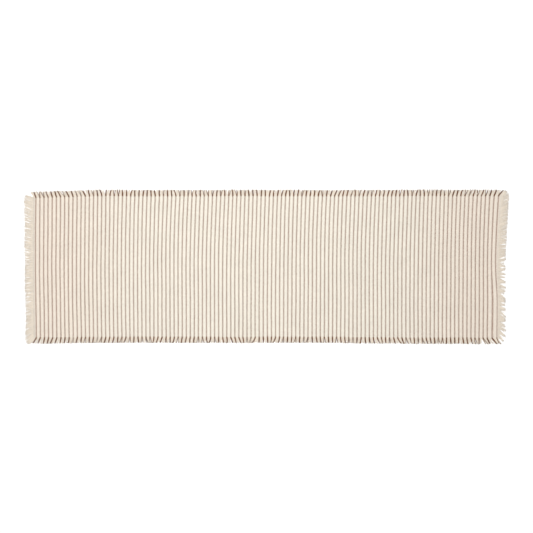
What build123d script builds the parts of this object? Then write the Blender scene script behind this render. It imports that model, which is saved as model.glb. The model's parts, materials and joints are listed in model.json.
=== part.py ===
from build123d import *

import os

# A striped cotton table runner with a fringe on all four sides, in millimetres.
# It lies flat on Z = 0. Its length runs along X and its stripes along Y, and the
# origin is the middle of its underside. Two folds divide it into three panels:
# each end can drop over a table's edge or fold up and over the centre.

# Woven cloth
cloth_width = 274.0  # woven width, between the two side fringes
cloth_thickness = 1.2
end_margin = 4.15  # plain cloth between the last stripe and the end fringe

# Stripes: each is a loop of brown yarns round the ground's lengthwise yarns
stripe_pitch = 7.9
stripe_width = 2.7
stripe_depth = 0.4  # how deep the brown yarns lie in each face of the cloth
centre_stripe_count = 42
end_stripe_count = 36

# Fringes: loose yarn ends that grow out of a narrow root band
side_fringe = 11.2
end_fringe = 16.0
fringe_root = 1.2
strand_width = 2.1
strand_gap = 0.3

# Stay stitching: one thread on each face, sunk in a groove, that locks the fringe
stitch_inset = 2.4  # from the woven edge to the middle of the row
thread_width = 0.6
thread_depth = 0.25
stitch_rise = 0.15  # how far a stitch stands above the thread that joins it
stitch_length = 3.4
stitch_gap = 1.1

# Folds
fold_lip = 0.2  # plain cloth beside the stripe next to a fold
layer_gap = 0.3  # air between two layers of folded cloth
fold_clearance = 0.3

# The left end folds down on the centre first, and the right end on top of it, so
# the right fold's axis is one layer's half thickness and half gap higher.
left_axis_height = cloth_thickness + layer_gap / 2
right_axis_height = 1.5 * cloth_thickness + layer_gap
fold_reach = max(left_axis_height, right_axis_height) + fold_clearance

half_cloth = cloth_width / 2
root_edge = half_cloth + fringe_root
side_tip = half_cloth + side_fringe
side_stitch_y = half_cloth - stitch_inset
web_thickness = cloth_thickness - 2 * stripe_depth


def stripe_row(first, count):
    """Middles of a row of stripes, starting at first."""
    return [first + i * stripe_pitch for i in range(count)]


centre_row = stripe_row(-(centre_stripe_count - 1) / 2 * stripe_pitch, centre_stripe_count)
centre_edge = centre_row[-1] + stripe_width / 2 + fold_lip
fold_x = centre_edge + fold_reach
end_inner_edge = fold_x + fold_reach
right_row = stripe_row(end_inner_edge + fold_lip + stripe_width / 2, end_stripe_count)
end_outer_edge = right_row[-1] + stripe_width / 2 + end_margin
end_stitch_x = end_outer_edge - stitch_inset
left_row = [-x for x in reversed(right_row)]

# name: (low edge, high edge, middles of its stripes)
panels = {
    "left": (-end_outer_edge, -end_inner_edge, left_row),
    "centre": (-centre_edge, centre_edge, centre_row),
    "right": (end_inner_edge, end_outer_edge, right_row),
}

# The two levels at which something is sunk into the cloth, under and top face
stripe_beds = (0, cloth_thickness - stripe_depth)
thread_beds = (0, cloth_thickness - thread_depth)


def stitching_span(low, high):
    """Where a panel's side stitching starts and stops: it turns the corner at an end row."""
    return max(low, -end_stitch_x - thread_width / 2), min(high, end_stitch_x + thread_width / 2)


def strands_between(low, high):
    """Middles of the cream strands that fit between two places, evenly spread."""
    count = max(0, int((high - low - strand_gap) // (strand_width + strand_gap)))
    gap = (high - low - count * strand_width) / (count + 1)
    return [low + gap + strand_width / 2 + i * (gap + strand_width) for i in range(count)]


def stitches_between(low, high):
    """Middles of the stitches of a row, evenly spread between its two ends."""
    count = int((high - low + stitch_gap) // (stitch_length + stitch_gap))
    step = (high - low) / count
    return [low + step * (i + 0.5) for i in range(count)]


def make_cloth(low, high, row):
    """One panel's cream ground, full thickness between the stripes and a thin web at each."""
    middle = (low + high) / 2
    with BuildPart() as cloth:
        with BuildSketch():
            with Locations((middle, 0)):
                Rectangle(high - low, cloth_width)
        extrude(amount=cloth_thickness)
        for level in stripe_beds:
            with BuildSketch(Plane.XY.offset(level)):
                with Locations(*[(x, 0) for x in row]):
                    Rectangle(stripe_width, cloth_width)
            extrude(amount=stripe_depth, mode=Mode.SUBTRACT)
        start, stop = stitching_span(low, high)
        for level in thread_beds:
            with BuildSketch(Plane.XY.offset(level)):
                with Locations(((start + stop) / 2, side_stitch_y), ((start + stop) / 2, -side_stitch_y)):
                    Rectangle(stop - start, thread_width)
                for x in (-end_stitch_x, end_stitch_x):
                    if low < x < high:
                        with Locations((x, 0)):
                            Rectangle(thread_width, 2 * side_stitch_y)
            extrude(amount=thread_depth, mode=Mode.SUBTRACT)
    return cloth.part


def make_stripes(row):
    """Brown stripe loops: a bar on each face, joined past the cloth's edges by the fringe tips."""
    slit = strand_gap
    with BuildPart() as loop:
        with BuildSketch():
            Rectangle(stripe_width, 2 * side_tip)
        extrude(amount=cloth_thickness)
        with BuildSketch(Plane.XY.offset(stripe_depth)):
            Rectangle(stripe_width, 2 * root_edge)
        extrude(amount=web_thickness, mode=Mode.SUBTRACT)
        for level in thread_beds:
            with BuildSketch(Plane.XY.offset(level)):
                with Locations((0, side_stitch_y), (0, -side_stitch_y)):
                    Rectangle(stripe_width, thread_width)
            extrude(amount=thread_depth, mode=Mode.SUBTRACT)
        with BuildSketch():
            tip_length = side_tip - root_edge
            slit_length = tip_length - fringe_root
            with Locations((0, side_tip - slit_length / 2), (0, -side_tip + slit_length / 2)):
                Rectangle(slit, slit_length)
        extrude(amount=cloth_thickness, mode=Mode.SUBTRACT)
    with BuildPart() as stripes:
        with Locations(*[(x, 0, 0) for x in row]):
            add(loop.part)
    return stripes.part


def make_side_fringe(low, high, row, side):
    """Cream comb along one side of a panel: a root band and the strands between the stripes."""
    starts = [low] + [x + stripe_width / 2 for x in row]
    stops = [x - stripe_width / 2 for x in row] + [high]
    strands = [x for start, stop in zip(starts, stops) for x in strands_between(start, stop)]
    strand_length = side_fringe - fringe_root
    with BuildPart() as fringe:
        with BuildSketch():
            with Locations(((low + high) / 2, side * (half_cloth + fringe_root / 2))):
                Rectangle(high - low, fringe_root)
        extrude(amount=cloth_thickness)
        for level in stripe_beds:
            with BuildSketch(Plane.XY.offset(level)):
                with Locations(*[(x, side * (half_cloth + fringe_root / 2)) for x in row]):
                    Rectangle(stripe_width, fringe_root)
            extrude(amount=stripe_depth, mode=Mode.SUBTRACT)
        with BuildSketch():
            with Locations(*[(x, side * (root_edge + strand_length / 2)) for x in strands]):
                Rectangle(strand_width, strand_length)
        extrude(amount=cloth_thickness)
    return fringe.part


def make_end_fringe(side):
    """Cream comb along one end: the ends of the lengthwise yarns."""
    strand_length = end_fringe - fringe_root
    root_x = side * (end_outer_edge + fringe_root / 2)
    strand_x = side * (end_outer_edge + fringe_root + strand_length / 2)
    with BuildPart() as fringe:
        with BuildSketch():
            with Locations((root_x, 0)):
                Rectangle(fringe_root, cloth_width)
            with Locations(*[(strand_x, y) for y in strands_between(-half_cloth, half_cloth)]):
                Rectangle(strand_length, strand_width)
        extrude(amount=cloth_thickness)
    return fringe.part


def make_stitching(place, length, turn=0):
    """Needle thread on the top face and bobbin thread under it, with a raised stitch at each step."""
    with BuildPart() as seam:
        with BuildSketch(Plane.XY.offset(cloth_thickness - thread_depth)):
            with Locations(Location((*place, 0), (0, 0, turn))):
                Rectangle(length, thread_width)
        extrude(amount=thread_depth - stitch_rise)
        with BuildSketch(Plane.XY.offset(cloth_thickness - stitch_rise)):
            with Locations(Location((*place, 0), (0, 0, turn))):
                with Locations(*[(s, 0) for s in stitches_between(-length / 2, length / 2)]):
                    Rectangle(stitch_length, thread_width)
        extrude(amount=stitch_rise)
        mirror(about=Plane.XY.offset(cloth_thickness / 2))
    return seam.part


def save(part, name):
    """Writes one named piece."""
    part.label = name
    export_step(part, f"parts/{name}.step", write_pcurves=False)


os.makedirs("parts", exist_ok=True)
sides = {"front": -1, "back": 1}

for panel, (low, high, row) in panels.items():
    save(make_cloth(low, high, row), f"{panel}_cloth")
    save(make_stripes(row), f"{panel}_stripes")
    start, stop = stitching_span(low, high)
    for side_name, side in sides.items():
        save(make_side_fringe(low, high, row, side), f"{panel}_{side_name}_fringe")
        seam_place = ((start + stop) / 2, side * side_stitch_y)
        save(make_stitching(seam_place, stop - start), f"{panel}_{side_name}_stitching")

for end_name, end in {"left": -1, "right": 1}.items():
    save(make_end_fringe(end), f"{end_name}_end_fringe")
    row_length = 2 * side_stitch_y - thread_width
    save(make_stitching((end * end_stitch_x, 0), row_length, turn=90), f"{end_name}_end_stitching")

print(f"overall {2 * (end_outer_edge + end_fringe):.1f} x {2 * side_tip:.1f} x {cloth_thickness} mm")
print(f"fold lines at X = {fold_x:.2f}, axes at Z = {left_axis_height:.2f} left, {right_axis_height:.2f} right")
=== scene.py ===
import json
import math

import bpy
import numpy as np
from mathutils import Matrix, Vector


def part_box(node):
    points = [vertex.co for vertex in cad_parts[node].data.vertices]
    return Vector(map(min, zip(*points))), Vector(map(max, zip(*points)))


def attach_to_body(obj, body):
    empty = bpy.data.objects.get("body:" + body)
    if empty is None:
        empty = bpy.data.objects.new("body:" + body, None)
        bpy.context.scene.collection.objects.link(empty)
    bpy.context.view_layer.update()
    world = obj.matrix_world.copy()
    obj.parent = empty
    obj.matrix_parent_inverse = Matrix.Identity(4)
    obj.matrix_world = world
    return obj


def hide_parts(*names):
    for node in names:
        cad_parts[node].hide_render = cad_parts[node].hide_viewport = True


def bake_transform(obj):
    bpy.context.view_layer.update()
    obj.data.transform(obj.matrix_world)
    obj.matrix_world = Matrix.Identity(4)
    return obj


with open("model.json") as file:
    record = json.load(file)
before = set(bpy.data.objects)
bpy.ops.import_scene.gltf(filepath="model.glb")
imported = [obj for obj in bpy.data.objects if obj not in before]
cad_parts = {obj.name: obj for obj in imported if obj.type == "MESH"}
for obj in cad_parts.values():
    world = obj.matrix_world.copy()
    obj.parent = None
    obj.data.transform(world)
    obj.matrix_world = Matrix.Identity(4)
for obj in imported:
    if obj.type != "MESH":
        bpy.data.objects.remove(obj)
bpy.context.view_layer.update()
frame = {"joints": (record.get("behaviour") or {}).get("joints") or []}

# A cotton table runner, laid flat: a cream ground with brown stripes across it, and
# loose yarns on all four sides. Sizes are metres. "u" runs along the runner, "v"
# across it and "n" up from its underside, all measured on the flat cloth before lay()
# says where each point comes to rest.

MM = 0.001
RANDOM = np.random.default_rng(452)

# The weave: twelve weft yarns to a pitch, four of them brown, crossed by the warp
PITCH = 7.9 * MM
YARNS_PER_PITCH = 12
BROWN_YARNS = (4, 5, 6, 7)
WEFT = PITCH / YARNS_PER_PITCH
WARP = 0.76 * MM

# The cloth's edges and the fringes' tips, from the runner's middle
cloth_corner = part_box("right_cloth")[1]
LENGTH_EDGE = cloth_corner.x
WIDTH_EDGE = cloth_corner.y
SIDE_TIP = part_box("right_back_fringe")[1].y
END_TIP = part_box("right_end_fringe")[1].x
SIDE_DEPTH = SIDE_TIP - WIDTH_EDGE
END_DEPTH = END_TIP - LENGTH_EDGE
PAST_EDGE = 1.08  # how far out, in half widths, the fringes still follow the cloth's edge

# The stripes: one in the middle of each pitch, with a rib's crown on both sides
STRIPES_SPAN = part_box("right_stripes")[1].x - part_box("left_stripes")[0].x
PITCH_COUNT = 1 + int(STRIPES_SPAN / PITCH)
LAST_CROWN = PITCH_COUNT / 2 * PITCH

# The cloth is cut for modelling at crowns of its cream ribs: at the runner's middle, and
# about half way from there to each end, so that each length crosses at most one fold
QUARTER = 29 * PITCH
FOLD_X = {j["name"]: abs(j["pos_m"][0]) for j in frame["joints"]}

# Heights on the flat cloth
UNDERSIDE = 0.12 * MM
GROUND_TOP = 0.80 * MM  # along the stripes
RIB_RISE = 0.20 * MM  # of the cream ribs above them
UNDER_GROOVE = 0.06 * MM
YARN_LEVEL = 0.58 * MM  # where a fringe yarn leaves the cloth

# ---------------------------------------------------------------- how the cloth lies


def smooth(t):
    """0 up to t = 0, 1 from t = 1, and a smooth step between them."""
    t = np.clip(t, 0.0, 1.0)
    return t * t * (3.0 - 2.0 * t)


def rise(value, start, over):
    """0 up to start, and then a smooth climb to 1 over the stretch after it."""
    return smooth((value - start) / over)


def hump(value, middle, reach):
    """1 at middle, falling away on both sides of it."""
    return np.exp(-(((value - middle) / reach) ** 2))


def ripples(u, v, waves):
    """A sum of sines: each wave is (size, length along u, length along v, phase)."""
    total = 0.0
    for size, length_u, length_v, phase in waves:
        total = total + size * np.sin(2 * math.pi * (u / length_u + v / length_v) + phase)
    return total


# Slow unevenness of the laid cloth: along the runner, across it and up
WAVER = (
    (0.20 * MM, 0.310, 0.240, 0.4),
    (0.10 * MM, -0.094, 0.130, 2.1),
    (0.05 * MM, 0.041, 0.078, 4.0),
)
SWAY = (
    (0.20 * MM, 0.330, 0.900, 1.0),
    (0.14 * MM, -0.121, 0.700, 3.3),
)
SWELLS = (
    (0.022 * MM, 0.160, 0.420, 0.7),
    (0.018 * MM, -0.083, 0.190, 2.9),
    (0.010 * MM, 0.047, -0.110, 5.1),
)
SWELL_SUM = sum(wave[0] for wave in SWELLS)


def toward_edges(v):
    """How near v is to the back and to the front edge: 0 half way across and 1 at the edge."""
    return np.clip(v / WIDTH_EDGE, 0.0, PAST_EDGE), np.clip(-v / WIDTH_EDGE, 0.0, PAST_EDGE)


def drift(u, v):
    """How far a stripe has slid to the right. The back edge has slid most, above all at the
    right end. The front edge has at the left end and by the last stripe, and the whole width
    has a little in the left part."""
    back, front = toward_edges(v)
    to_end = np.clip(LENGTH_EDGE - u, 0.0, None)
    at_back = 0.5 * MM + 3.3 * MM * rise(u, -0.44, 0.27)
    at_front = 1.8 * MM * (1.0 - rise(u, -0.28, 0.22)) - 0.3 * MM
    slid = at_back * back**1.6 + at_front * front**1.3
    slid = slid + 0.9 * MM * hump(u, -0.34, 0.11)
    slid = slid + 2.6 * MM * np.exp(-to_end / 0.020) * back**2
    return slid + 3.4 * MM * hump(to_end, PITCH, 0.007) * rise(front, 0.0, 0.5)


def bow(u, v):
    """How far the long edges have moved toward the back. The back edge drops to the front at
    the left end, and the front edge at the right end."""
    back, front = toward_edges(v)
    at_back = 2.1 * MM - 3.4 * MM * (1.0 - rise(u, -0.47, 0.17))
    at_front = 0.9 * MM * rise(u, -0.44, 0.16) - 1.9 * MM * rise(u, 0.05, 0.36)
    return at_back * back**1.5 + at_front * front**1.5


def lay(u, v, n):
    """Where a point of the flat cloth comes to lie, as an array of points."""
    x = u + drift(u, v) + ripples(u, v, WAVER)
    y = v + bow(u, v) + ripples(u, v, SWAY)
    z = n + SWELL_SUM + ripples(u, v, SWELLS)
    return np.stack(np.broadcast_arrays(x, y, z), axis=-1)


def rib(u):
    """0 along the middle of a brown stripe and 1 along the crown of a cream rib."""
    away = np.abs((u / PITCH) % 1.0 - 0.5)
    return rise(away, 0.10, 0.24)


def face_top(u):
    """The height of the cloth's upper face, which has ribs."""
    return GROUND_TOP + RIB_RISE * rib(u)


def face_under(u):
    """The height of its lower face, which has a shallow groove along each stripe."""
    return UNDERSIDE + UNDER_GROOVE * (1.0 - rib(u))


def add_mesh(name, points, faces, material, maps, sharp=()):
    """A smooth mesh. maps holds one UV per face corner, and sharp lists edges with a crease."""
    mesh = bpy.data.meshes.new(name)
    mesh.from_pydata(points.reshape(-1, 3), [], faces)
    for map_name, places in maps.items():
        layer = mesh.uv_layers.new(name=map_name)
        layer.uv.foreach_set("vector", np.asarray(places, np.float32).ravel())
    mesh.polygons.foreach_set("use_smooth", np.ones(len(mesh.polygons), bool))
    if len(sharp):
        wanted = {tuple(sorted(pair)) for pair in sharp}
        flags = [tuple(sorted(edge.vertices)) in wanted for edge in mesh.edges]
        crease = mesh.attributes.new("sharp_edge", "BOOLEAN", "EDGE")
        crease.data.foreach_set("value", flags)
    mesh.materials.append(material)
    mesh.update()
    piece = bpy.data.objects.new(name, mesh)
    bpy.context.scene.collection.objects.link(piece)
    return piece


# ---------------------------------------------------------------- materials


class Graph:
    """A material's node tree, with short ways to add the nodes used here."""

    def __init__(self, name):
        self.material = bpy.data.materials.new(name)
        self.material.use_nodes = True
        self.nodes = self.material.node_tree.nodes
        self.links = self.material.node_tree.links
        self.shader = self.nodes["Principled BSDF"]

    def put(self, socket, value):
        """Links a node's output to a socket, or sets the socket to a number or colour."""
        if isinstance(value, bpy.types.NodeSocket):
            self.links.new(value, socket)
        else:
            socket.default_value = value

    def math(self, operation, *values):
        node = self.nodes.new("ShaderNodeMath")
        node.operation = operation
        for socket, value in zip(node.inputs, values):
            self.put(socket, value)
        return node.outputs[0]

    def ramp(self, value, low, high, to_low=0.0, to_high=1.0):
        """A smooth step from to_low to to_high, as value goes from low to high."""
        node = self.nodes.new("ShaderNodeMapRange")
        node.interpolation_type = "SMOOTHSTEP"
        keys = ("Value", "From Min", "From Max", "To Min", "To Max")
        for key, item in zip(keys, (value, low, high, to_low, to_high)):
            self.put(node.inputs[key], item)
        return node.outputs[0]

    def noise(self, x, x_scale, y, y_scale, z=0.0, detail=2.0):
        """Noise over x and y, each times its scale. Another z gives another pattern."""
        place = self.nodes.new("ShaderNodeCombineXYZ")
        self.put(place.inputs[0], self.math("MULTIPLY", x, x_scale))
        self.put(place.inputs[1], self.math("MULTIPLY", y, y_scale))
        self.put(place.inputs[2], z)
        node = self.nodes.new("ShaderNodeTexNoise")
        self.links.new(place.outputs[0], node.inputs["Vector"])
        node.inputs["Scale"].default_value = 1.0
        node.inputs["Detail"].default_value = detail
        return node.outputs["Fac"]

    def blend(self, share, first, second, kind="MIX"):
        """From the first colour to the second, or the first times the second."""
        node = self.nodes.new("ShaderNodeMix")
        node.data_type = "RGBA"
        node.blend_type = kind
        # Inputs 6 and 7 and output 2 are the colour ones of a Mix node
        self.put(node.inputs[0], share)
        self.put(node.inputs[6], first)
        self.put(node.inputs[7], second)
        return node.outputs[2]

    def shade(self, colour, amount):
        """colour times a grey amount."""
        grey = self.nodes.new("ShaderNodeCombineColor")
        for socket in grey.inputs[:3]:
            self.put(socket, amount)
        return self.blend(1.0, colour, grey.outputs[0], "MULTIPLY")

    def map_mm(self, name):
        """The two coordinates of a mesh's map, which is in millimetres."""
        node = self.nodes.new("ShaderNodeUVMap")
        node.uv_map = name
        parts = self.nodes.new("ShaderNodeSeparateXYZ")
        self.links.new(node.outputs[0], parts.inputs[0])
        return parts.outputs[0], parts.outputs[1]

    def finish(self, colour, height, depth, roughness, sheen):
        """A matt cloth or yarn of this colour, whose relief goes depth deep."""
        bump = self.nodes.new("ShaderNodeBump")
        bump.inputs["Strength"].default_value = 0.75
        bump.inputs["Distance"].default_value = depth
        self.links.new(height, bump.inputs["Height"])
        self.links.new(bump.outputs[0], self.shader.inputs["Normal"])
        self.put(self.shader.inputs["Base Color"], colour)
        self.put(self.shader.inputs["Roughness"], roughness)
        self.shader.inputs["Specular IOR Level"].default_value = 0.18
        self.shader.inputs["Sheen Weight"].default_value = sheen
        self.shader.inputs["Sheen Roughness"].default_value = 0.55
        return self.material


CREAM = (0.800, 0.750, 0.656, 1.0)
CREAM_WARP = (0.812, 0.758, 0.658, 1.0)
BROWN = (0.180, 0.077, 0.051, 1.0)
LOOSE_CREAM = (0.800, 0.714, 0.604, 1.0)
LOOSE_BROWN = (0.190, 0.082, 0.040, 1.0)
BROWN_FUZZ_AND_SHADE = (0.955, 0.915, 0.895, 1.0)  # of the warp where it crosses brown yarns: partly brown fibres caught in it, partly painted shade and reddish light reflected from the brown yarns
END_TINGE = (0.995, 0.950, 0.940, 1.0)  # of the cloth towards its two ends
THREAD = (0.830, 0.775, 0.675, 1.0)

# The yarn map runs along each yarn in millimetres, and every yarn has a stretch of its own
YARN_STRETCH = 100.0
YARN_START = 20.0


def striped_weave(name):
    """Plain weave: weft yarns side by side along u, brown in fours, under and over the warp."""
    g = Graph(name)
    u, v = g.map_mm("cloth")

    def waver(value, noise, reach):
        """value, moved by noise over a reach, because yarns aren't quite straight."""
        push = g.math("MULTIPLY", g.math("SUBTRACT", noise, 0.5), reach)
        return g.math("ADD", value, push)

    across = g.math("DIVIDE", waver(u, g.noise(u, 0.35, v, 0.09), 0.34), WEFT / MM)
    along = g.math("DIVIDE", waver(v, g.noise(u, 0.08, v, 0.30, 4.0), 0.60), WARP / MM)

    def cell(value):
        """The yarn's number, and 1 at the yarn's middle falling to 0 at its two sides."""
        part = g.math("MULTIPLY_ADD", g.math("FRACT", value), 2.0, -1.0)
        return g.math("FLOOR", value), g.math("SUBTRACT", 1.0, g.math("MULTIPLY", part, part))

    def wave(value):
        """A sine that changes its sign from each yarn to the next."""
        return g.math("SINE", g.math("MULTIPLY", value, math.pi))

    weft_number, weft_round = cell(across)
    warp_number, warp_round = cell(along)
    weft_over = g.math("MULTIPLY", wave(across), wave(along))
    swing = 0.40
    thickness = 0.45
    weft_round = g.math("MULTIPLY", weft_round, thickness)
    warp_round = g.math("MULTIPLY", warp_round, thickness)
    weft_height = g.math("MULTIPLY_ADD", weft_over, swing, weft_round)
    warp_height = g.math("MULTIPLY_ADD", weft_over, -swing, warp_round)
    height = g.math("MAXIMUM", weft_height, warp_height)

    # The brown yarns cover a little more of the warp than the cream ones
    place_in_pitch = g.math("FLOORED_MODULO", weft_number, float(YARNS_PER_PITCH))
    brown_middle = sum(BROWN_YARNS) / len(BROWN_YARNS)
    from_middle = g.math("ABSOLUTE", g.math("SUBTRACT", place_in_pitch, brown_middle))
    brown = g.math("LESS_THAN", from_middle, len(BROWN_YARNS) / 2)
    warp_above = g.math("SUBTRACT", warp_height, weft_height)
    brown_cover = 0.05
    warp_shows = g.ramp(g.math("MULTIPLY_ADD", brown, -brown_cover, warp_above), -0.02, 0.10)

    # Each yarn has its own tone, and slubs along it
    weft_tone = g.noise(weft_number, 7.31, v, 0.16, detail=3.0)
    warp_tone = g.noise(u, 0.16, warp_number, 5.77, 3.0, detail=3.0)
    fibres = g.noise(u, 3.2, v, 3.2, 8.0, detail=4.0)
    weft = g.blend(brown, CREAM, BROWN)
    weft = g.shade(weft, g.ramp(weft_tone, 0.25, 0.75, 0.86, 1.10))
    warp = g.shade(CREAM_WARP, g.ramp(warp_tone, 0.25, 0.75, 0.92, 1.06))
    # The warp is darker and redder where it crosses brown yarns: partly brown fibres, partly
    # painted shade and reflected light
    warp = g.blend(brown, warp, BROWN_FUZZ_AND_SHADE, "MULTIPLY")
    colour = g.blend(warp_shows, weft, warp)
    # Darker where the weave lies low, between and under the yarns: painted shade
    colour = g.shade(colour, g.ramp(height, 0.0, 0.55, 0.72, 1.0))
    colour = g.shade(colour, g.ramp(fibres, 0.2, 0.8, 0.93, 1.05))
    # Past the last stripe the cloth is a little darker, at the left end more than at the right
    last_crown = LAST_CROWN / MM
    for end, tone in ((-1, 0.80), (1, 0.88)):
        toward_end = g.math("MULTIPLY", u, float(end))
        colour = g.shade(colour, g.ramp(toward_end, last_crown - 2.6, last_crown - 1.0, 1.0, tone))
    near_end = g.ramp(g.math("ABSOLUTE", u), 240.0, 430.0)
    colour = g.blend(near_end, colour, END_TINGE, "MULTIPLY")
    cloudy = g.noise(u, 0.03, v, 0.03, 1.0)
    colour = g.shade(colour, g.ramp(cloudy, 0.25, 0.75, 0.975, 1.02))
    relief = g.math("MULTIPLY_ADD", fibres, 0.18, height)
    return g.finish(colour, relief, 0.28 * MM, g.ramp(fibres, 0.2, 0.8, 0.84, 0.95), 0.12)


def spun_yarn(name, base, turn, depth, groove, spread, sheen):
    """Two plies twisted together. turn is the length of one turn in millimetres, groove the tone of
    the painted shade in the grooves between the plies and spread how yarns differ."""
    g = Graph(name)
    along, around = g.map_mm("yarn")
    number = g.math("FLOOR", g.math("DIVIDE", along, YARN_STRETCH))
    spiral = g.math("ADD", g.math("DIVIDE", along, turn), around)
    ply = g.math("ABSOLUTE", g.math("SINE", g.math("MULTIPLY", spiral, 2 * math.pi)))
    streak = g.noise(spiral, 9.0, along, 0.7, number, detail=3.0)
    patch = g.noise(along, 0.22, number, 3.7)
    own = g.nodes.new("ShaderNodeTexWhiteNoise")
    own.noise_dimensions = "1D"
    g.put(own.inputs["W"], number)
    # Each yarn is darkened in the grooves between its plies, down to the groove tone: painted shade
    colour = g.shade(base, g.ramp(ply, 0.0, 0.75, groove, 1.0))
    colour = g.shade(colour, g.ramp(streak, 0.2, 0.8, 0.86, 1.08))
    colour = g.shade(colour, g.ramp(patch, 0.25, 0.75, 0.92, 1.06))
    own_tone = g.ramp(own.outputs["Value"], 0.0, 1.0, 1.0 - spread, 1.0 + spread * 0.6)
    colour = g.shade(colour, own_tone)
    relief = g.math("MULTIPLY_ADD", streak, 0.35, ply)
    return g.finish(colour, relief, depth, g.ramp(streak, 0.2, 0.8, 0.80, 0.95), sheen)


weave = striped_weave("striped_weave")
cream_yarn = spun_yarn("cream_yarn", LOOSE_CREAM, 1.9, 0.12 * MM, 0.78, 0.08, 0.20)
brown_yarn = spun_yarn("brown_yarn", LOOSE_BROWN, 1.9, 0.20 * MM, 0.45, 0.25, 0.08)
stitch_thread = spun_yarn("stitch_thread", THREAD, 0.9, 0.06 * MM, 0.78, 0.05, 0.15)

# ---------------------------------------------------------------- cloth

ROWS = 121  # across the runner
COLUMNS_IN_BEND = 24  # in each pitch at a fold
SMALLEST_STEP = 0.05 * MM  # between columns


def column_places(low, high):
    """Columns on every weft yarn's edge, closer together where the cloth bends at a fold."""
    yarns_each_way = PITCH_COUNT * YARNS_PER_PITCH // 2
    yarn_edges = np.arange(-yarns_each_way, yarns_each_way + 1) * WEFT
    places = [yarn_edges, [-LENGTH_EDGE, LENGTH_EDGE, -LAST_CROWN - WEFT, LAST_CROWN + WEFT]]
    for name, fold_x in FOLD_X.items():
        start, stop = fold_x - 2 * PITCH / 3, fold_x + 4 * PITCH / 3
        bend = np.linspace(start, stop, 2 * COLUMNS_IN_BEND + 1)
        places.append(bend * (-1 if name == "left_fold" else 1))
    places = np.sort(np.concatenate(places))
    places = places[(places > low + SMALLEST_STEP) & (places < high - SMALLEST_STEP)]
    places = np.concatenate([[low], places, [high]])
    return places[np.concatenate([[True], np.diff(places) > SMALLEST_STEP])]


def make_cloth(name, low, high):
    """One length of the runner, a closed shell with a face on top, one beneath and thin edges."""
    u = column_places(low, high)
    v = np.linspace(-WIDTH_EDGE, WIDTH_EDGE, ROWS)
    grid_u, grid_v = np.meshgrid(u, v, indexing="ij")
    top = lay(grid_u, grid_v, face_top(grid_u))
    under = lay(grid_u, grid_v, face_under(grid_u))
    points = np.concatenate([top.reshape(-1, 3), under.reshape(-1, 3)])
    number = np.arange(len(u) * ROWS).reshape(len(u), ROWS)
    a, b, c, d = number[:-1, :-1], number[1:, :-1], number[1:, 1:], number[:-1, 1:]
    faces = [np.stack([a, b, c, d], -1).reshape(-1, 4)]
    faces.append(np.stack([d, c, b, a], -1).reshape(-1, 4) + number.size)
    rims = [number[:, 0], number[-1, :], number[::-1, -1], number[0, ::-1]]
    sharp = []
    for rim in rims:
        here, following = rim[:-1], rim[1:]
        faces.append(np.stack([here, here + number.size, following + number.size, following], -1))
        sharp += list(zip(here, following))
        sharp += list(zip(here + number.size, following + number.size))
    for corner in (number[0, 0], number[-1, 0], number[-1, -1], number[0, -1]):
        sharp.append((corner, corner + number.size))
    faces = np.concatenate(faces)
    flat_u = np.concatenate([grid_u.ravel(), grid_u.ravel()])
    flat_v = np.concatenate([grid_v.ravel(), grid_v.ravel()])
    cloth_map = np.stack([flat_u, flat_v], -1) / MM
    # The bake's map: the top face in the upper half, the underside in the lower one
    share_u = (flat_u - low) / (high - low)
    share_v = (flat_v + WIDTH_EDGE) / (2 * WIDTH_EDGE)
    is_under = np.arange(len(points)) >= number.size
    half = np.where(is_under, 0.0, 0.5)
    bake_map = np.stack([0.01 + 0.98 * share_u, 0.01 + 0.48 * share_v + half], -1)
    maps = {"cloth": cloth_map[faces], "OFBake": bake_map[faces]}
    return add_mesh(name, points, faces.tolist(), weave, maps, sharp)


# ---------------------------------------------------------------- yarns

RINGS = 10  # along each fringe yarn
TUCK = 1.6 * MM  # how far a fringe yarn's root reaches into the cloth
END_YARN = 0.80 * MM  # from each yarn of an end fringe to the next
LOOSE_PLIES = 7  # in each pitch of a side fringe
TURNED_YARNS = 14  # at each filled corner of an end fringe

# The yarns' smallest and largest radius, in millimetres
SIDE_YARN_RADII = (0.42, 0.51)
END_YARN_RADII = (0.44, 0.54)
PLY_RADII = (0.28, 0.36)
TURNED_RADII = (0.36, 0.46)
HAIR_RADII = np.array([0.085, 0.075, 0.06, 0.03]) * MM  # at each ring of a fine fibre
HAIR_LOWEST = 0.10 * MM

# A leaning yarn reaches no further than this many times the depth of an upright one
LONGEST_REACH = 1.14
HALVINGS = 12  # of the stretch in which a yarn meets the runner's outline

# How a stripe's brown yarns hang, each as pull, radius, height on the table and twirl: in one
# tight bundle, split into two, or loose and half hidden by the cream yarns
TIGHT = (0.16, 0.46, 0.55, 0.15)
SPLIT = (0.05, 0.45, 0.58, 0.10)
LOOSE = (0.10, 0.36, 0.42, 0.0)
TIGHT_SHARE = 0.68
BUNDLED_SHARE = 0.87  # tight or split
MOST_NEAR_END = 0.75  # of the same scale, so that none is loose near the ends
NEAR_END = 0.41
SPLIT_LEAN = 0.13
LOOSE_LEAN = 0.06
LAST_CURL = {-1: 0.32, 1: 0.10}  # of the last stripe's yarns, in front and at the back

# The front fringe has been parted down to the table here, near the right end
PARTING_U = 0.4185
PARTING_REACH = 0.008
PARTING_LEAN = 0.42


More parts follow.
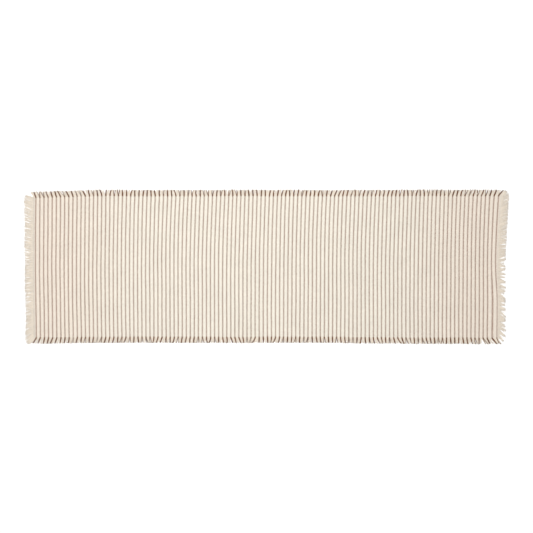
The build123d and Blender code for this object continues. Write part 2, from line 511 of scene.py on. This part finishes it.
def tubes(paths, radii, sides=6, ply=0.16, turn=1.9 * MM, first_number=0):
    """Twisted yarns along paths, as (points, faces, yarn map, bake map).
    paths is yarns x rings x 3 and radii is yarns x rings."""
    count, rings = radii.shape
    tangent = np.gradient(paths, axis=1)
    tangent /= np.linalg.norm(tangent, axis=-1, keepdims=True) + 1e-12
    side = np.cross(tangent, np.array([0.0, 0.0, 1.0]))
    side /= np.linalg.norm(side, axis=-1, keepdims=True) + 1e-12
    up = np.cross(side, tangent)
    step = np.linalg.norm(np.diff(paths, axis=1), axis=-1)
    along = np.concatenate([np.zeros((count, 1)), np.cumsum(step, axis=1)], axis=1)
    angle = 2 * math.pi * np.arange(sides) / sides
    turned = 2 * math.pi * along / turn + RANDOM.uniform(0, 2 * math.pi, (count, 1))
    radius = radii[..., None] * (1.0 + ply * np.cos(2.0 * (angle - turned[..., None])))
    ring = np.cos(angle)[:, None] * side[:, :, None, :] + np.sin(angle)[:, None] * up[:, :, None, :]
    points = paths[:, :, None, :] + radius[..., None] * ring
    number = np.arange(count * rings * sides).reshape(count, rings, sides)
    following = np.roll(number, -1, axis=2)
    quads = np.stack([number[:, :-1], following[:, :-1], following[:, 1:], number[:, 1:]], -1)
    quads = quads.reshape(-1, 4)
    caps = np.concatenate([number[:, 0, ::-1], number[:, -1]])

    # Each face corner's place along its yarn, and around it from 0 to 1
    shape = (count, rings - 1, sides, 4)
    corner_ring = np.arange(rings - 1)[None, :, None, None] + np.array([0, 0, 1, 1])
    corner_ring = np.broadcast_to(corner_ring, shape)
    corner_side = np.arange(sides)[None, None, :, None] + np.array([0, 1, 1, 0])
    corner_side = np.broadcast_to(corner_side, shape)
    yarn = np.broadcast_to(np.arange(count)[:, None, None, None], shape)
    place = along[yarn, corner_ring] / MM
    around = corner_side / sides
    map_place = place + YARN_STRETCH * (yarn + first_number) + YARN_START
    yarn_map = np.stack([map_place, around], -1).reshape(-1, 2)

    # The bake's map: a square of cells, one for each yarn
    cells = math.ceil(math.sqrt(count))
    margin = 0.08
    in_cell = np.stack([place / (along[:, -1:, None, None] / MM), around], -1)
    cell = np.stack([yarn % cells, yarn // cells], -1)
    bake_map = ((cell + margin + (1 - 2 * margin) * in_cell) / cells).reshape(-1, 2)

    # The caps: the first of every yarn, and then the last
    cap_yarn = np.tile(np.arange(count), 2)
    cap_place = np.concatenate([np.zeros(count), along[:, -1]]) / MM
    cap_place = cap_place + YARN_STRETCH * (cap_yarn + first_number) + YARN_START
    cap_map = np.stack(np.broadcast_arrays(cap_place[:, None], np.arange(sides) / sides), -1)
    edge = np.where(np.arange(2 * count) < count, margin / 3, 1 - margin / 3)
    wheel = 0.02 * np.stack([np.cos(angle), np.sin(angle)], -1)
    cap_cell = np.stack([cap_yarn % cells + edge, cap_yarn // cells + 0.5], -1)
    cap_bake = ((cap_cell[:, None, :] + wheel) / cells).reshape(-1, 2)
    faces = quads.tolist() + caps.tolist()
    yarn_map = np.concatenate([yarn_map, cap_map.reshape(-1, 2)])
    return points.reshape(-1, 3), faces, yarn_map, np.concatenate([bake_map, cap_bake])


def join_tubes(name, material, sets):
    """One piece from several sets of tubes, which share its maps in strips of their own."""
    points, faces, yarn_maps, bake_maps = [], [], [], []
    start = 0
    for index, (some_points, some_faces, yarn_map, bake_map) in enumerate(sets):
        points.append(some_points)
        faces += [[corner + start for corner in face] for face in some_faces]
        yarn_maps.append(yarn_map)
        bake_maps.append(bake_map * [1.0, 1.0 / len(sets)] + [0.0, index / len(sets)])
        start += len(some_points)
    maps = {"yarn": np.concatenate(yarn_maps), "OFBake": np.concatenate(bake_maps)}
    return add_mesh(name, np.concatenate(points), faces, material, maps)


def fringe_paths(root, centre, lean, curl, depth, pull, level, twirl=None, twirl_start=None):
    """Fringe yarns on the flat cloth, as (sideways place, outward place, height), yarns x rings.
    Each yarn leaves its root, leans and curls sideways, is pulled to its clump's centre, and
    comes down from the cloth's middle to level. twirl winds it about the clump's centre."""
    share = np.linspace(0.0, 1.0, RINGS)[None, :]
    outward = -TUCK + (TUCK + depth[:, None]) * share
    free = np.clip(outward / depth[:, None], 0.0, 1.0)
    gather = 1.0 - pull[:, None] * smooth(free * 1.15)
    offset = (root - centre)[:, None] * gather
    phase = RANDOM.uniform(0, 2 * math.pi, (len(root), 1))
    turns = RANDOM.uniform(0.5, 1.1, phase.shape)
    wave = 0.16 * MM * np.sin(2 * math.pi * free * turns + phase) * free
    sideways = centre[:, None] + offset + wave
    sideways = sideways + depth[:, None] * (np.tan(lean)[:, None] * free + curl[:, None] * free**2)
    settle = smooth(free * 1.7)
    height = YARN_LEVEL * (1.0 - settle) + level[:, None] * settle
    if twirl is not None:
        wind = twirl_start[:, None] + 2 * math.pi * 0.55 * free
        size = twirl[:, None] * smooth(free * 2.2) * (1.0 - 0.45 * free)
        sideways = sideways + size * np.cos(wind)
        height = height + size * (0.9 * np.sin(wind) + 0.55)
    return sideways, outward, height


def yarn_radii(size, tip=0.45):
    """A yarn's radius at each ring: size, then a little thinner outward, and worn to a tip."""
    share = np.linspace(0.0, 1.0, RINGS)[None, :]
    worn = 1.0 - (1.0 - tip) * rise(share, 0.78, 0.22)
    return size[:, None] * (1.0 - 0.06 * share) * worn


def hair_paths(paths, per_yarn, reach):
    """Fine fibres that stand out of the last part of each yarn, as (paths, radii)."""
    rings = paths.shape[1]
    origin_ring = RANDOM.integers(rings - 3, rings, (len(paths), per_yarn))
    yarn = np.repeat(np.arange(len(paths)), per_yarn)
    ring = origin_ring.ravel()
    origin = paths[yarn, ring]
    ahead = paths[yarn, np.minimum(ring + 1, rings - 1)] - paths[yarn, np.minimum(ring, rings - 2)]
    behind = paths[yarn, ring] - paths[yarn, ring - 1]
    heading = np.where((ring < rings - 1)[:, None], ahead, behind)
    heading = heading / (np.linalg.norm(heading, axis=-1, keepdims=True) + 1e-12)
    angle = np.arctan2(heading[:, 1], heading[:, 0]) + RANDOM.normal(0, 0.42, len(heading))
    length = reach * RANDOM.uniform(0.45, 1.0, len(heading))
    bend = RANDOM.normal(0, 0.55, len(heading))
    share = np.linspace(0.0, 1.0, len(HAIR_RADII))[None, :]
    swung = angle[:, None] + bend[:, None] * share
    step = length[:, None] * share
    lift = RANDOM.uniform(-0.10, 0.16, len(heading))[:, None] * MM * share
    x = origin[:, 0:1] + step * np.cos(swung)
    y = origin[:, 1:2] + step * np.sin(swung)
    z = np.maximum(origin[:, 2:3] + lift, HAIR_LOWEST)
    return np.stack([x, y, z], -1), np.broadcast_to(HAIR_RADII, x.shape)


def side_lean(u, side):
    """How a side fringe lies, as it was combed: outward at both ends, and first one way and
    then the other between them. Leans are in radians, and positive to the right."""
    if side > 0:
        lean = 0.20 * rise(u, -0.06, 0.12) - 0.06 - 0.48 * rise(-u, 0.33, 0.09)
        lean = lean + 0.34 * rise(u, 0.38, 0.05) + 0.20 * rise(-u, 0.447, 0.005)
    else:
        lean = 0.15 * rise(u, 0.20, 0.06) - 0.20 * rise(-u, 0.10, 0.04)
        lean = lean + 0.28 * hump(u, -0.085, 0.035) - 0.10 * rise(-u, 0.38, 0.05)
        lean = lean + 0.16 * rise(u, 0.37, 0.06)
    # Two opposite corners are filled, because the yarns there turn further outward
    corner_fill = np.where(u * side > 0, 0.26, 0.0) * np.sign(u)
    return lean + corner_fill * rise(np.abs(u), 0.430, 0.022)


def combing(side):
    """Each pitch's middle, and its yarns' lean and curl in a side fringe, with one pitch more
    at each end for the margins. Neighbours go much the same way."""
    middles = (np.arange(-1, PITCH_COUNT + 1) - PITCH_COUNT // 2 + 0.5) * PITCH
    lean, curl = np.zeros(len(middles)), np.zeros(len(middles))
    for pitch in range(len(middles)):
        lean[pitch] = 0.50 * lean[pitch - 1] + RANDOM.normal(0, 0.095)
        curl[pitch] = 0.35 * curl[pitch - 1] + RANDOM.normal(0, 0.13)
    return middles, side_lean(middles, side) + lean, curl


def make_fringe(name, material, paths, size, hairs_each, hair_reach):
    """A piece of yarns along paths, with fine fibres standing out of their worn ends."""
    yarns = tubes(paths, yarn_radii(size))
    hairs, hair_radii = hair_paths(paths, hairs_each, hair_reach)
    fuzz = tubes(hairs, hair_radii, sides=3, ply=0.0, first_number=len(paths))
    return join_tubes(name, material, [yarns, fuzz])


COMBING = {side: combing(side) for side in (-1, 1)}


def side_fringe(low, high, side):
    """The yarns along one side of a length of cloth, as rows of brown and rows of cream ones:
    root, clump's middle, lean, curl, pull, radius, height on the table, twirl and its start.
    Radius, height and twirl are in millimetres."""
    first = max(round(low / PITCH), -PITCH_COUNT // 2)
    last = min(round(high / PITCH), PITCH_COUNT // 2)
    middles, leans, curls = COMBING[side]
    brown, cream = [], []

    def loose_yarn(root):
        middle = (math.floor(root / PITCH) + 0.5) * PITCH
        lean = np.interp(root, middles, leans) + RANDOM.normal(0, 0.06)
        curl = np.interp(root, middles, curls) + RANDOM.normal(0, 0.08)
        size = RANDOM.uniform(*SIDE_YARN_RADII)
        level = size + RANDOM.uniform(0.0, 0.10)
        pull = RANDOM.uniform(-0.35, 0.0)
        cream.append((root, middle, lean, curl, pull, size, level, 0, 0))

    for pitch in range(first, last):
        crown = pitch * PITCH
        middle = crown + PITCH / 2
        place = pitch + PITCH_COUNT // 2 + 1
        lean, curl = leans[place], curls[place]
        kind = RANDOM.uniform(0.0, 1.0 if abs(middle) < NEAR_END else MOST_NEAR_END)
        if pitch == PITCH_COUNT // 2 - 1:
            kind, curl = 0.0, LAST_CURL[side]
        for index in range(YARNS_PER_PITCH):
            root = crown + (index + 0.5) * WEFT
            if index not in BROWN_YARNS:
                loose_yarn(root)
                continue
            beside = BROWN_YARNS.index(index) - 1.5
            start = math.pi / 2 * beside
            if kind < TIGHT_SHARE:
                row = (lean, curl, *TIGHT, start)
            elif kind < BUNDLED_SHARE:
                row = (lean + SPLIT_LEAN * np.sign(beside), curl, *SPLIT, start)
            else:
                row = (lean + LOOSE_LEAN * beside, curl, *LOOSE, 0.0)
            brown.append((root, middle, *row))
        for _ in range(LOOSE_PLIES):
            root = crown + RANDOM.uniform(0.0, PITCH)
            size = RANDOM.uniform(*PLY_RADII)
            ply_lean = np.interp(root, middles, leans) + RANDOM.normal(0, 0.13)
            ply_curl = np.interp(root, middles, curls) + RANDOM.normal(0, 0.15)
            cream.append((root, root, ply_lean, ply_curl, 0.0, size, size, 0, 0))
    for end in (-1, 1):
        if min(abs(low - end * LENGTH_EDGE), abs(high - end * LENGTH_EDGE)) < PITCH:
            for index in range(int((LENGTH_EDGE - LAST_CROWN) / WEFT)):
                loose_yarn(end * (LAST_CROWN + (index + 0.5) * WEFT))
    return np.array(brown), np.array(cream)


def outside(u, v):
    """How far outside the runner's outline, which has round corners, a point is. The corners
    at the back are rounder than the ones at the front."""
    at_back = np.where(u > 0, 15 * MM, 17 * MM)
    at_front = np.where(u > 0, 6 * MM, 7 * MM)
    radius = np.where(v > 0, at_back, at_front)
    past_u = np.abs(u) - END_TIP + radius
    past_v = np.abs(v) - SIDE_TIP + radius
    corner = np.hypot(np.maximum(past_u, 0.0), np.maximum(past_v, 0.0))
    return corner + np.minimum(np.maximum(past_u, past_v), 0.0) - radius


def fringe_depth(u, v, lean, full, along_u):
    """How far outward yarns rooted at (u, v) reach, if full is the depth of an upright one:
    a yarn that leans reaches less far, and stops at the runner's outline."""
    longest = np.minimum(full / np.cos(lean), LONGEST_REACH * full)
    if along_u:
        heading = (np.sin(lean), np.cos(lean) * np.sign(v))
    else:
        heading = (np.cos(lean) * np.sign(u), np.sin(lean))
    low, high = 0.0 * longest, longest
    for _ in range(HALVINGS):
        middle = (low + high) / 2
        inside = outside(u + heading[0] * middle, v + heading[1] * middle) < 0
        low, high = np.where(inside, middle, low), np.where(inside, high, middle)
    return low * np.cos(lean)


def make_side_fringe(part, low, high, side_name, side):
    """The brown and the cream yarns along one side of a length of cloth, as two pieces."""
    made = []
    for colour, rows in zip(("brown", "cream"), side_fringe(low, high, side)):
        root, middle, lean, curl, pull, size, level, twirl, twirl_start = rows.T
        depth = fringe_depth(root, side * WIDTH_EDGE, lean, SIDE_DEPTH, True)
        depth = depth * RANDOM.uniform(0.86, 1.02, len(rows))
        size, level, twirl = size * MM, level * MM, twirl * MM
        if side < 0:
            parted = np.exp(-np.abs(root - PARTING_U) / PARTING_REACH)
            lean = lean + PARTING_LEAN * np.sign(root - PARTING_U) * parted
        sideways, outward, height = fringe_paths(
            root, middle, lean, curl, depth, pull, level, twirl, twirl_start)
        paths = lay(sideways, side * (WIDTH_EDGE + outward), height)
        material = brown_yarn if colour == "brown" else cream_yarn
        name = f"{part}_{side_name}_{colour}_fringe"
        made.append(make_fringe(name, material, paths, size, hairs_each=2, hair_reach=1.9 * MM))
    return made


def end_lean(v, end):
    """How an end fringe lies: it fans out to both corners, and fills one of them. Leans are in
    radians, and positive to the back."""
    t = v / WIDTH_EDGE
    lean = 0.50 * np.sign(t) * np.abs(t) ** 0.8 + 0.06 * np.sin(2 * math.pi * v / 0.083 + end)
    corner_fill = np.where(t * end > 0, 0.30, np.where(end < 0, -0.04, 0.0))
    return lean + corner_fill * np.sign(t) * rise(np.abs(t), 0.88, 0.12)


def end_reach(v, end):
    """How much of its full depth an end fringe reaches."""
    if end < 0:
        middle_front = rise(-v, 0.04, 0.03) * (1.0 - rise(-v, 0.095, 0.03))
        reach = 1.0 + 0.12 * rise(v, 0.06, 0.06) - 0.07 * middle_front
        return reach + 0.10 * rise(-v, 0.105, 0.03)
    return 0.94 - 0.07 * rise(-v, -0.02, 0.03)


def make_end_fringe(part, end):
    """The warp yarns that hang loose at one end, in clumps with notches between them."""
    count = int(2 * WIDTH_EDGE / END_YARN)
    root = (np.arange(count) + 0.5) * (2 * WIDTH_EDGE / count) - WIDTH_EDGE
    sizes = []
    while sum(sizes) < count:
        sizes.append(int(RANDOM.integers(6, 14)))
    clump = np.repeat(np.arange(len(sizes)), sizes)[:count]
    clumps = clump[-1] + 1
    middle = np.array([root[clump == index].mean() for index in range(clumps)])
    # The front half of the right end is combed into separate clumps, the rest lies close
    loose = np.where(end > 0, 0.25 + 0.75 * rise(-middle, -0.035, 0.03), 0.25)
    clump_lean = RANDOM.normal(0, 0.13, clumps) * loose
    clump_depth = 1.0 - RANDOM.uniform(0.0, 0.18, clumps) * loose
    clump_curl = RANDOM.normal(0, 0.20, clumps) * loose
    clump_pull = RANDOM.uniform(0.40, 0.85, clumps) * loose
    lean = end_lean(root, end) + clump_lean[clump] + RANDOM.normal(0, 0.05, count)
    curl = clump_curl[clump] + RANDOM.normal(0, 0.05, count)
    share = clump_depth[clump] * RANDOM.uniform(0.88, 1.02, count)
    size = RANDOM.uniform(*END_YARN_RADII, count) * MM
    level = size + RANDOM.uniform(0.0, 0.12, count) * MM
    middle, pull = middle[clump], clump_pull[clump]

    # Plies that have come away from the yarns lie under them, and go much as their clump does
    plies = RANDOM.uniform(-WIDTH_EDGE, WIDTH_EDGE, count // 2)
    nearest = ((plies + WIDTH_EDGE) / (2 * WIDTH_EDGE) * count).astype(int)
    nearest = clump[np.clip(nearest, 0, count - 1)]
    ply_size = RANDOM.uniform(*PLY_RADII, len(plies)) * MM
    ply_lean = end_lean(plies, end) + clump_lean[nearest] * 0.8
    ply_lean = ply_lean + RANDOM.normal(0, 0.11, len(plies))
    ply_share = RANDOM.uniform(0.86, 0.98, len(plies)) - 0.25 * (loose[nearest] - 0.25)

    # At the corner that is filled some yarns turn further, to meet the side fringe
    turn_lean = end * np.linspace(0.72, 1.10, TURNED_YARNS)
    turn_root = end * (WIDTH_EDGE - RANDOM.uniform(0.2, 1.6, TURNED_YARNS) * MM)
    turn_size = RANDOM.uniform(*TURNED_RADII, TURNED_YARNS) * MM
    ply_curl = RANDOM.normal(0, 0.12, len(plies))
    turn_curl = RANDOM.normal(0, 0.04, TURNED_YARNS)
    turn_share = RANDOM.uniform(0.88, 0.98, TURNED_YARNS)

    root = np.concatenate([root, plies, turn_root])
    middle = np.concatenate([middle, plies, turn_root])
    lean = np.concatenate([lean, ply_lean, turn_lean])
    curl = np.concatenate([curl, ply_curl, turn_curl])
    pull = np.concatenate([pull, np.zeros(len(plies) + TURNED_YARNS)])
    share = np.concatenate([share, ply_share, turn_share])
    level = np.concatenate([level, ply_size, turn_size * 1.4])
    size = np.concatenate([size, ply_size, turn_size])
    depth = fringe_depth(end * LENGTH_EDGE, root, lean, END_DEPTH, False)
    depth = depth * share * end_reach(root, end)
    sideways, outward, height = fringe_paths(root, middle, lean, curl, depth, pull, level)
    paths = lay(end * (LENGTH_EDGE + outward), sideways, height)
    name = f"{part}_loose_warp"
    return make_fringe(name, cream_yarn, paths, size, hairs_each=4, hair_reach=2.6 * MM)


# ---------------------------------------------------------------- stay stitching

STITCH_INSET = 2.4 * MM
STITCH_LENGTH = 3.3 * MM
STITCH_STEP = 4.5 * MM
STITCH_RINGS = 7
THREAD_RADIUS = 0.24 * MM

# How deep under the cloth's upper and lower face a stitch's ends lie, and how far outward it
# arches between them
TOP_SINK = 0.06 * MM
TOP_ARCH = 0.08 * MM
UNDER_SINK = 0.19 * MM
UNDER_ARCH = 0.04 * MM


def stitch_row(from_point, to_point):
    """A row of stitches from one point of the flat cloth to another, as sets of paths and
    radii. The stitches on the lower face lie half a step further on."""
    start, stop = np.array(from_point), np.array(to_point)
    reach = np.linalg.norm(stop - start)
    count = max(1, round(reach / STITCH_STEP))
    heading = (stop - start) / reach
    middle = start + heading * ((np.arange(count) + 0.5) * reach / count)[:, None]
    half = 0.5 * STITCH_LENGTH * RANDOM.uniform(0.94, 1.03, count)
    share = np.linspace(-1.0, 1.0, STITCH_RINGS)
    arch = 1.0 - share**4
    radius = THREAD_RADIUS * np.sqrt(np.clip(1.0 - share**6, 0.12, 1.0))
    sets = []
    for face, shift, number in ((1, 0.0, count), (-1, 0.5 * STITCH_STEP, count - 1)):
        if number == 0:
            continue
        centre = middle[:number] + heading * shift
        place = centre[:, None, :] + heading * (half[:number, None] * share)[..., None]
        u, v = place[..., 0], place[..., 1]
        if face > 0:
            height = face_top(u) - TOP_SINK + TOP_ARCH * arch
        else:
            height = face_under(u) + UNDER_SINK - UNDER_ARCH * arch
        sets.append((lay(u, v, height), radius * np.ones((number, 1))))
    return sets


def make_stitching(part, low, high, end):
    """The stitches along both sides of a length of cloth, and along its end if it has one."""
    sets = []
    start = max(low, -LENGTH_EDGE + STITCH_INSET)
    stop = min(high, LENGTH_EDGE - STITCH_INSET)
    inset_v = WIDTH_EDGE - STITCH_INSET
    for side in (-1, 1):
        sets += stitch_row((start, side * inset_v), (stop, side * inset_v))
    if end:
        inset_u = end * (LENGTH_EDGE - STITCH_INSET)
        sets += stitch_row((inset_u, -inset_v), (inset_u, inset_v))
    made = []
    number = 0
    for paths, radii in sets:
        made.append(tubes(paths, radii, ply=0.10, turn=0.9 * MM, first_number=number))
        number += len(paths)
    return join_tubes(f"{part}_stay_stitches", stitch_thread, made)


# ---------------------------------------------------------------- the four lengths

# name: (low, high, CAD panels that it stands for, nearest fold, which end it reaches or 0)
LENGTHS = {
    "left_end": (-LENGTH_EDGE, -QUARTER, ["left"], "left_fold", -1),
    "left_half": (-QUARTER, 0.0, ["left", "centre"], "left_fold", 0),
    "right_half": (0.0, QUARTER, ["centre", "right"], "right_fold", 0),
    "right_end": (QUARTER, LENGTH_EDGE, ["right"], "right_fold", 1),
}


def attach(piece, fold, crosses):
    """A piece beyond the fold rides on the end panel, and one that crosses it keeps its place, with
    its placement applied to its mesh.
    """
    if not crosses:
        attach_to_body(piece, "left_end" if fold == "left_fold" else "right_end")
    elif fold == "left_fold":
        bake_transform(piece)
    else:
        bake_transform(piece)


for part, (low, high, panels, fold, end) in LENGTHS.items():
    crosses = end == 0
    cloth = make_cloth(f"{part}_cloth", low, high)
    attach(cloth, fold, crosses)
    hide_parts(*[f"{panel}_{kind}" for panel in panels for kind in ("cloth", "stripes")])
    for side_name, side in (("front", -1), ("back", 1)):
        for fringe in make_side_fringe(part, low, high, side_name, side):
            attach(fringe, fold, crosses)
            is_brown = "brown" in fringe.name
            kind = "stripes" if is_brown else f"{side_name}_fringe"
            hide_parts(*[f"{panel}_{kind}" for panel in panels])
    stitching = make_stitching(part, low, high, end)
    attach(stitching, fold, crosses)
    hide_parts(*[f"{panel}_{side}_stitching"
                             for panel in panels for side in ("front", "back")])
    if end:
        loose_end = make_end_fringe(part, end)
        attach(loose_end, fold, crosses)
        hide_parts(f"{part}_fringe")
        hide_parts(f"{part}_stitching")


# ---------------------------------------------------------------- floor, light, camera

FLOOR_REACH = 6.0
FLOOR_DROP = 0.02 * MM  # keeps it clear of the cloth's lowest points
plain = Graph("plain_floor")
plain.shader.inputs["Base Color"].default_value = (0.97, 0.97, 0.97, 1.0)
plain.shader.inputs["Roughness"].default_value = 0.9
plain.shader.inputs["Specular IOR Level"].default_value = 0.1
corners = np.array([(-1, -1, 0), (1, -1, 0), (1, 1, 0), (-1, 1, 0)]) * FLOOR_REACH
corners = corners - np.array([0, 0, FLOOR_DROP])
floor = add_mesh("floor", corners, [[0, 1, 2, 3]], plain.material, {})

world = bpy.data.worlds.new("studio")
bpy.context.scene.world = world
world.use_nodes = True
background = world.node_tree.nodes["Background"]
background.inputs["Color"].default_value = (1.0, 1.0, 1.0, 1.0)
background.inputs["Strength"].default_value = 0.69

# A soft box overhead, a little to the left and toward the back
lamp = bpy.data.lights.new("soft_box", "AREA")
lamp.shape = "DISK"
lamp.size = 0.7
lamp.energy = 13.3
soft_box = bpy.data.objects.new("soft_box", lamp)
soft_box.location = (-0.14, 0.22, 1.35)
soft_box.rotation_euler = (-0.16, -0.10, 0.0)
soft_box.visible_camera = False
bpy.context.scene.collection.objects.link(soft_box)

CAMERA_HEIGHT = 2.6
SENSOR = 36.0
VIEW_WIDTH = 1.034  # how much of the table the picture takes in
lens = bpy.data.cameras.new("camera")
lens.sensor_width = SENSOR
lens.lens = SENSOR * CAMERA_HEIGHT / VIEW_WIDTH
camera = bpy.data.objects.new("camera", lens)
camera.location = (0.0020, 0.0014, CAMERA_HEIGHT)
bpy.context.scene.collection.objects.link(camera)
bpy.context.scene.camera = camera
bpy.context.scene.view_settings.view_transform = "Standard"
